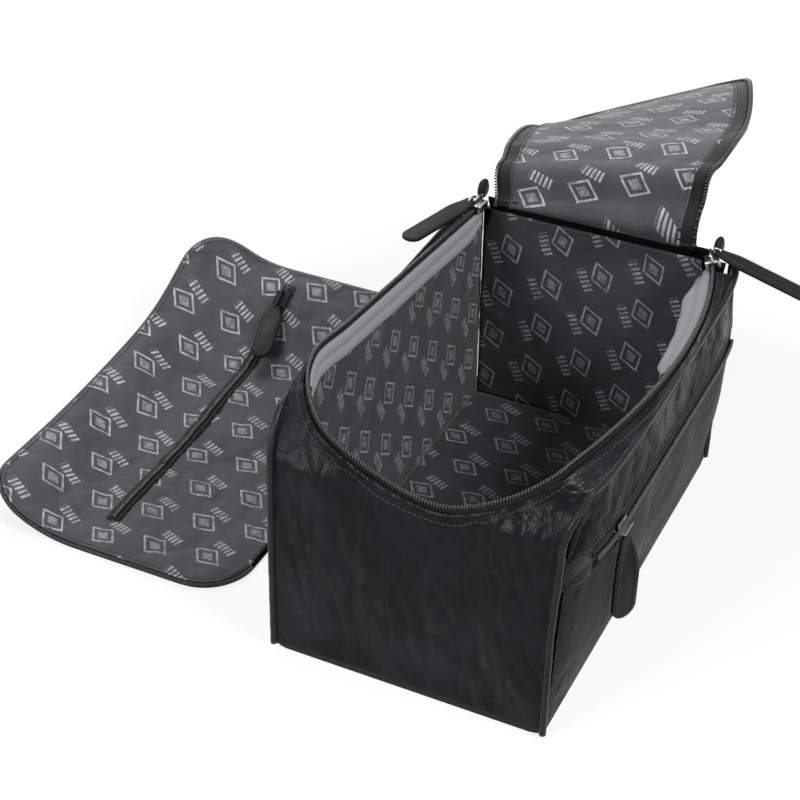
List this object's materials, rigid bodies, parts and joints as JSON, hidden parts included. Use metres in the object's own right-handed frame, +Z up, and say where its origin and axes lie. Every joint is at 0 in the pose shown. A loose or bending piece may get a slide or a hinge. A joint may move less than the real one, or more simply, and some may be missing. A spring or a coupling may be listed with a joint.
{
  "type": "toiletry bag",
  "caption": "Soft leather toiletry bag standing on its flat base, with its zip-round lid thrown back, a zipped front pocket and a lined back cover lying open.",
  "frame": {"origin": "middle of the flat underside", "axes": "+X along the bag from its near end to the far end with the lid's hinge and the carry handle, +Y to the back with the open lined cover, +Z up; the zipped pocket is on the front at -Y"},
  "size_m": [0.4841, 0.4124, 0.1935],
  "materials": {
    "body_leather": "black grained leather, soft sheen",
    "piping_leather": "black leather rolled over a cord",
    "bottom_leather": "black grained leather, matte",
    "board": "stiff board inside the bottom",
    "lining": "dark grey satin weave with a pale printed motif",
    "facing": "pale grey woven band",
    "zip_tape": "black woven zip tape",
    "zip_teeth": "dark coil teeth",
    "silver_metal": "bright silver plating",
    "dark_metal": "dark gunmetal plating",
    "puller_leather": "black leather with a stitched border"
  },
  "bodies": {
    "bag": {"bottom_panel": "bottom_leather", "base_board": "board", "near_end_panel": "body_leather", "far_end_panel": "body_leather", "front_yoke": "body_leather", "front_pocket_panel": "body_leather", "pocket_back_wall": "lining", "back_panel": "body_leather", "front_piping": "piping_leather", "back_piping": "piping_leather", "front_top_strip": "body_leather", "back_top_strip": "body_leather", "rim_zip_tape": "zip_tape", "rim_zip_teeth": "zip_teeth", "back_facing": "facing", "front_facing": "facing", "lining_floor": "lining", "lining_near": "lining", "lining_far": "lining", "lining_front": "lining", "lining_back": "lining", "hinge_strip": "body_leather", "zip_end_tab_back": "body_leather", "zip_end_tab_front": "body_leather", "pocket_zip_upper": "zip_tape", "pocket_zip_lower": "zip_tape", "handle_strap": "body_leather", "back_zip_half": "zip_tape", "back_floor_strip": "body_leather"},
    "lid_base": {"lid_base_leather": "body_leather", "lid_base_lining": "lining", "lid_base_zip_front": "zip_tape", "lid_base_zip_back": "zip_tape"},
    "lid_arch": {"lid_arch_leather": "body_leather", "lid_arch_lining": "lining", "lid_arch_zip_front": "zip_tape", "lid_arch_zip_back": "zip_tape"},
    "lid_middle": {"lid_middle_leather": "body_leather", "lid_middle_lining": "lining", "lid_middle_zip_front": "zip_tape", "lid_middle_zip_back": "zip_tape"},
    "lid_end": {"lid_end_leather": "body_leather", "lid_end_lining": "lining", "lid_end_zip_half": "zip_tape"},
    "flap": {"flap_leather": "body_leather", "flap_lining": "lining", "flap_zip_half": "zip_tape", "flap_pocket_zip_outer": "zip_tape", "flap_pocket_zip_inner": "zip_tape"},
    "front_rim_slider": {"rim_slider_front": "silver_metal"},
    "front_rim_puller": {"rim_puller_front": "puller_leather"},
    "back_rim_slider": {"rim_slider_back": "silver_metal"},
    "back_rim_puller": {"rim_puller_back": "puller_leather"},
    "pocket_zip_slider": {"pocket_slider": "dark_metal"},
    "pocket_zip_puller": {"pocket_puller": "puller_leather"},
    "flap_zip_slider": {"flap_slider": "dark_metal"},
    "flap_zip_puller": {"flap_puller": "puller_leather"}
  },
  "joints": [
    {"name": "lid_hinge", "type": "hinge", "parent": "bag", "child": "lid_base", "pos_m": [0.124, 0.004, 0.147], "axis": [0.0667, -0.9927, 0.1001], "range_deg": [0, 119.87]},
    {"name": "lid_arch_fold", "type": "hinge", "parent": "lid_base", "child": "lid_arch", "pos_m": [0.13776, 0.00921, 0.17082], "axis": [0.0124, -0.9783, 0.2067], "range_deg": [0, 54.05]},
    {"name": "lid_middle_fold", "type": "hinge", "parent": "lid_arch", "child": "lid_middle", "pos_m": [0.16756, 0.01028, 0.1741], "axis": [0.0238, -0.9224, -0.3856], "range_deg": [0, 19.49]},
    {"name": "lid_end_fold", "type": "hinge", "parent": "lid_middle", "child": "lid_end", "pos_m": [0.24674, 0.02379, 0.15762], "axis": [0.8776, -0.4776, -0.0425], "range_deg": [0, 13.56]},
    {"name": "flap_hinge", "type": "hinge", "parent": "bag", "child": "flap", "pos_m": [0.019, 0.11685, 0.0023], "axis": [1, 0, 0], "range_deg": [0, 72]},
    {"name": "front_slider_run", "type": "hinge", "parent": "bag", "child": "front_rim_slider", "pos_m": [0.012, 0.195, 0.0564], "axis": [0, -0.3256, -0.9455], "range_deg": [0, 38]},
    {"name": "back_slider_run", "type": "slide", "parent": "bag", "child": "back_rim_slider", "axis": [-0.998, 0.0376, 0.0502], "range_m": [0, 0.185]},
    {"name": "pocket_slider_run", "type": "slide", "parent": "bag", "child": "pocket_zip_slider", "axis": [1, 0, 0], "range_m": [0, 0.162]},
    {"name": "flap_slider_run", "type": "slide", "parent": "flap", "child": "flap_zip_slider", "axis": [-0.8341, 0, -0.5515], "range_m": [0, 0.008]},
    {"name": "front_puller_swing", "type": "hinge", "parent": "front_rim_slider", "child": "front_rim_puller", "pos_m": [0.11243, -0.07313, 0.15475], "axis": [-1, 0, 0], "range_deg": [0, 100]},
    {"name": "back_puller_swing", "type": "hinge", "parent": "back_rim_slider", "child": "back_rim_puller", "pos_m": [0.10683, 0.07354, 0.15241], "axis": [0.235, 0.972, 0], "range_deg": [0, 145]},
    {"name": "pocket_puller_swing", "type": "hinge", "parent": "pocket_zip_slider", "child": "pocket_zip_puller", "pos_m": [-0.08, -0.094, 0.1013], "axis": [-1, 0, 0], "range_deg": [0, 110]},
    {"name": "flap_puller_swing", "type": "hinge", "parent": "flap_zip_slider", "child": "flap_zip_puller", "pos_m": [0.11417, 0.20899, 0.03743], "axis": [-0.2169, 0.9762, 0], "range_deg": [0, 45]}
  ],
  "couplings": [
    {"joint": "lid_arch_fold", "follows": "lid_hinge", "ratio": 0.45049},
    {"joint": "lid_middle_fold", "follows": "lid_hinge", "ratio": 0.16219},
    {"joint": "lid_end_fold", "follows": "lid_hinge", "ratio": 0.1127}
  ]
}
